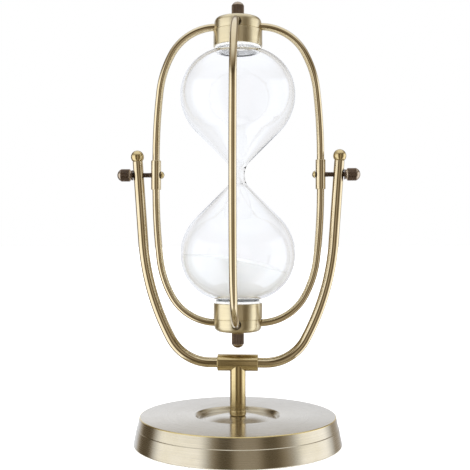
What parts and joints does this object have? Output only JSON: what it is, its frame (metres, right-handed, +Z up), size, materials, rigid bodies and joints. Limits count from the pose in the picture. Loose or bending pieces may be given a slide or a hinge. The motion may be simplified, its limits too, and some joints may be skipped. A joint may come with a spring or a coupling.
{
  "type": "rotating hourglass",
  "caption": "Hourglass in a cage of bent brass rods that turns end over end in a yoke on a round weighted base.",
  "frame": {"origin": "centre of the base's underside", "axes": "+Z up through the stem and the glass at rest, +X along the pivot axis to the right arm, -Y towards the front rod"},
  "size_m": [0.1656, 0.141, 0.2997],
  "materials": {
    "brass": "brushed antique brass, clear lacquer",
    "base_brass": "spun antique brass, circular brushing",
    "bronze": "dark bronze plating, knurled and threaded",
    "steel": "plain zinc-plated steel",
    "iron": "black painted casting",
    "felt": "dark green felt",
    "cushion": "matt white soft rubber",
    "clear_glass": "clear blown glass",
    "sand": "fine white sand"
  },
  "bodies": {
    "stand": {"base_shell": "base_brass", "base_weight": "iron", "base_pad": "felt", "base_bolt": "steel", "base_washer": "steel", "stem_ferrule": "brass", "stem": "brass", "yoke_sleeve": "brass", "yoke": "brass", "finial_left": "brass", "finial_right": "brass", "pivot_screw_left": "bronze", "pivot_screw_right": "bronze"},
    "cage": {"rod_left": "brass", "rod_right": "brass", "rod_front": "brass", "pivot_sleeve_left": "brass", "pivot_sleeve_right": "brass", "cap_top": "brass", "cap_bottom": "brass", "hub_top": "steel", "hub_bottom": "steel", "stud_top": "bronze", "stud_bottom": "bronze", "cushion_top": "cushion", "cushion_bottom": "cushion", "glass": "clear_glass", "stopper_top": "cushion", "stopper_bottom": "cushion", "sand": "sand"},
    "left_washer": {"pivot_washer_left": "bronze"},
    "right_washer": {"pivot_washer_right": "bronze"},
    "left_nut": {"pivot_nut_left": "bronze"},
    "right_nut": {"pivot_nut_right": "bronze"},
    "top_nut": {"cap_nut_top": "bronze"},
    "bottom_nut": {"cap_nut_bottom": "bronze"}
  },
  "joints": [
    {"name": "cage_turn", "type": "hinge", "parent": "stand", "child": "cage", "pos_m": [0, 0, 0.182], "axis": [1, 0, 0], "continuous": true},
    {"name": "left_nut_travel", "type": "slide", "parent": "stand", "child": "left_washer", "axis": [-1, 0, 0], "range_m": [0, 0.0012]},
    {"name": "left_nut_turn", "type": "hinge", "parent": "left_washer", "child": "left_nut", "pos_m": [-0.077, 0, 0.182], "axis": [-1, 0, 0], "range_deg": [0, 721]},
    {"name": "right_nut_travel", "type": "slide", "parent": "stand", "child": "right_washer", "axis": [1, 0, 0], "range_m": [0, 0.0012]},
    {"name": "right_nut_turn", "type": "hinge", "parent": "right_washer", "child": "right_nut", "pos_m": [0.077, 0, 0.182], "axis": [1, 0, 0], "range_deg": [0, 721]},
    {"name": "top_nut_turn", "type": "hinge", "parent": "cage", "child": "top_nut", "pos_m": [0, 0, 0.293], "axis": [0, 0, 1], "range_deg": [0, 90]},
    {"name": "bottom_nut_turn", "type": "hinge", "parent": "cage", "child": "bottom_nut", "pos_m": [0, 0, 0.071], "axis": [0, 0, -1], "range_deg": [0, 90]}
  ],
  "couplings": [
    {"joint": "left_nut_turn", "follows": "left_nut_travel", "rad_per_m": 10472},
    {"joint": "right_nut_turn", "follows": "right_nut_travel", "rad_per_m": 10472}
  ]
}
